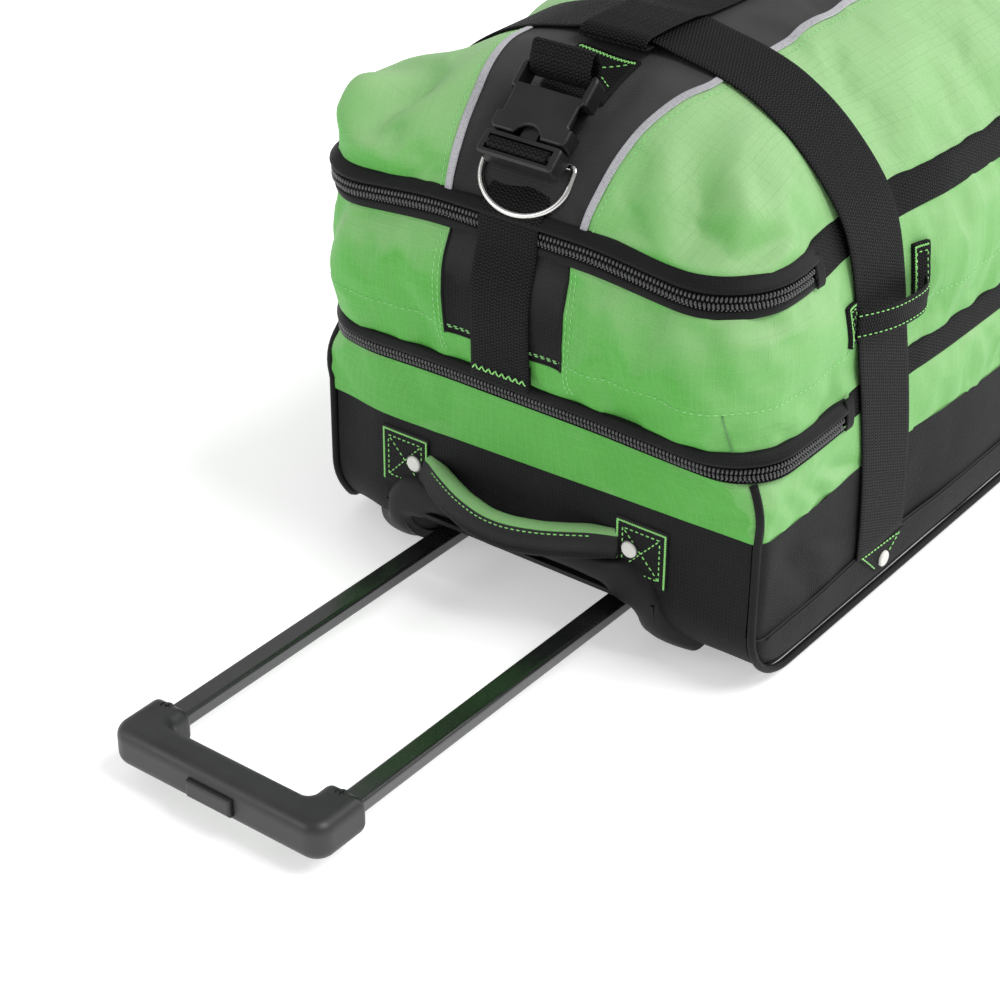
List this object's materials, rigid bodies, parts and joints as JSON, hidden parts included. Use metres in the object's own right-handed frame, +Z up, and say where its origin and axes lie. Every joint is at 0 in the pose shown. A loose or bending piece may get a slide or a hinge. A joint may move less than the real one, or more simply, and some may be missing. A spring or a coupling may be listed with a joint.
{
  "type": "bowling ball bag",
  "caption": "Wheeled two-level ball bag: fabric body on a stiff base, telescopic pull handle, end flap with buckle strap, compression straps and carry handles.",
  "frame": {"origin": "on the floor, under the centre of the whole object with the pull handle drawn out as at rest", "axes": "+Y along the bag from the pull-handle end to the wheel end, +X across it, +Z up"},
  "size_m": [0.319, 0.985, 0.324],
  "materials": {
    "fabric_black": "woven polyester, matt",
    "fabric_green": "ripstop polyester, slight sheen",
    "webbing": "ribbed polypropylene webbing",
    "zip": "moulded coil",
    "board": "corrugated polypropylene",
    "foam": "moulded foam with a fabric face",
    "buckle": "moulded acetal",
    "grip": "fine moulded texture",
    "housing": "moulded polypropylene",
    "tube_black": "gloss black",
    "tube_grey": "extruded",
    "steel": "polished",
    "rivet": "off-white enamel",
    "tyre": "polyurethane",
    "hub": "moulded",
    "button": "satin",
    "slider": "black enamel"
  },
  "bodies": {
    "root": {"base_board": "board", "tube_cover_board": "board", "bottom_panel": "fabric_black", "lower_side_panels": "fabric_black", "green_side_panels": "fabric_green", "green_end_panels": "fabric_green", "deck_end_panel": "fabric_green", "deck_side_panels": "fabric_green", "deck_tail_panel": "fabric_green", "divider": "fabric_black", "lower_zip_band": "fabric_black", "lower_zip_coil": "zip", "upper_zip_band": "fabric_black", "upper_zip_coil": "zip", "lid_band": "fabric_black", "lid_centre": "fabric_black", "lid_sides": "fabric_green", "compression_straps": "webbing", "strap_keepers": "webbing", "rivets": "rivet", "handle_patches": "fabric_black", "handle_housing": "housing", "guide_tubes": "tube_grey", "tube_bushings": "grip", "tail_block": "grip", "wheel_housings": "housing", "axles": "steel", "skid_runners": "housing", "long_strap": "webbing", "end_strap_lower": "webbing", "ball_cups": "foam"},
    "lid_flap": {"flap_centre": "fabric_black", "flap_sides": "fabric_green", "flap_zip_band": "fabric_black", "end_strap_upper": "webbing", "buckle_plug": "buckle", "ring_keeper": "webbing", "strap_end": "webbing"},
    "buckle_socket": {"buckle_socket": "buckle", "socket_loop": "webbing"},
    "d_ring": {"d_ring": "steel"},
    "end_carry_handle": {"end_carry_grip": "fabric_black"},
    "tail_carry_handle": {"tail_carry_grip": "fabric_black"},
    "pull_handle": {"handle_tubes": "tube_black", "grip_top_shell": "grip", "grip_bottom_shell": "grip", "grip_screws": "steel"},
    "release_button": {"release_button": "button"},
    "lock_pin_left": {"lock_pin_left": "steel"},
    "lock_pin_right": {"lock_pin_right": "steel"},
    "wheel_left": {"wheel_hub_left": "hub", "tyre_left": "tyre"},
    "wheel_right": {"wheel_hub_right": "hub", "tyre_right": "tyre"},
    "lower_zip_slider": {"lower_zip_slider": "slider"},
    "lower_zip_pull": {"lower_zip_pull": "slider"},
    "upper_zip_slider": {"upper_zip_slider": "slider"},
    "upper_zip_pull": {"upper_zip_pull": "slider"}
  },
  "joints": [
    {"name": "handle_slide", "type": "slide", "parent": "root", "child": "pull_handle", "axis": [0, -1, 0], "range_m": [-0.235, 0.14]},
    {"name": "button_press", "type": "slide", "parent": "pull_handle", "child": "release_button", "axis": [0, 1, 0], "range_m": [0, 0.004], "stiffness_N_per_m": 600, "springref_m": -0.003},
    {"name": "pin_left_slide", "type": "slide", "parent": "pull_handle", "child": "lock_pin_left", "axis": [-1, 0, 0], "range_m": [0, 0.0024]},
    {"name": "pin_right_slide", "type": "slide", "parent": "pull_handle", "child": "lock_pin_right", "axis": [1, 0, 0], "range_m": [0, 0.0024]},
    {"name": "wheel_left_spin", "type": "hinge", "parent": "root", "child": "wheel_left", "pos_m": [-0.121, 0.4405, 0.038], "axis": [1, 0, 0], "continuous": true},
    {"name": "wheel_right_spin", "type": "hinge", "parent": "root", "child": "wheel_right", "pos_m": [0.121, 0.4405, 0.038], "axis": [1, 0, 0], "continuous": true},
    {"name": "lid_flap_hinge", "type": "hinge", "parent": "root", "child": "lid_flap", "pos_m": [0, -0.1645, 0.316], "axis": [-1, 0, 0], "range_deg": [0, 30]},
    {"name": "socket_release", "type": "slide", "parent": "lid_flap", "child": "buckle_socket", "axis": [0, 0.7478, 0.6639], "range_m": [0, 0.024]},
    {"name": "d_ring_swing", "type": "hinge", "parent": "lid_flap", "child": "d_ring", "pos_m": [0, -0.23233, 0.27208], "axis": [-1, 0, 0], "range_deg": [0, 100]},
    {"name": "end_carry_hinge", "type": "hinge", "parent": "root", "child": "end_carry_handle", "pos_m": [0, -0.2435, 0.07], "axis": [-1, 0, 0], "range_deg": [0, 85]},
    {"name": "tail_carry_hinge", "type": "hinge", "parent": "root", "child": "tail_carry_handle", "pos_m": [0, 0.4645, 0.07], "axis": [1, 0, 0], "range_deg": [0, 85]},
    {"name": "lower_zip_run", "type": "slide", "parent": "root", "child": "lower_zip_slider", "axis": [0, -1, 0], "range_m": [0, 0.04]},
    {"name": "lower_pull_swing", "type": "hinge", "parent": "lower_zip_slider", "child": "lower_zip_pull", "pos_m": [-0.1567, -0.1655, 0.142], "axis": [0, 1, 0], "range_deg": [0, 100]},
    {"name": "upper_zip_run", "type": "slide", "parent": "root", "child": "upper_zip_slider", "axis": [0, -1, 0], "range_m": [0, 0.015]},
    {"name": "upper_pull_swing", "type": "hinge", "parent": "upper_zip_slider", "child": "upper_zip_pull", "pos_m": [-0.1477, -0.1885, 0.2359], "axis": [0, 1, 0], "range_deg": [0, 100]}
  ],
  "couplings": [
    {"joint": "pin_left_slide", "follows": "button_press", "ratio": 0.6},
    {"joint": "pin_right_slide", "follows": "button_press", "ratio": 0.6}
  ]
}
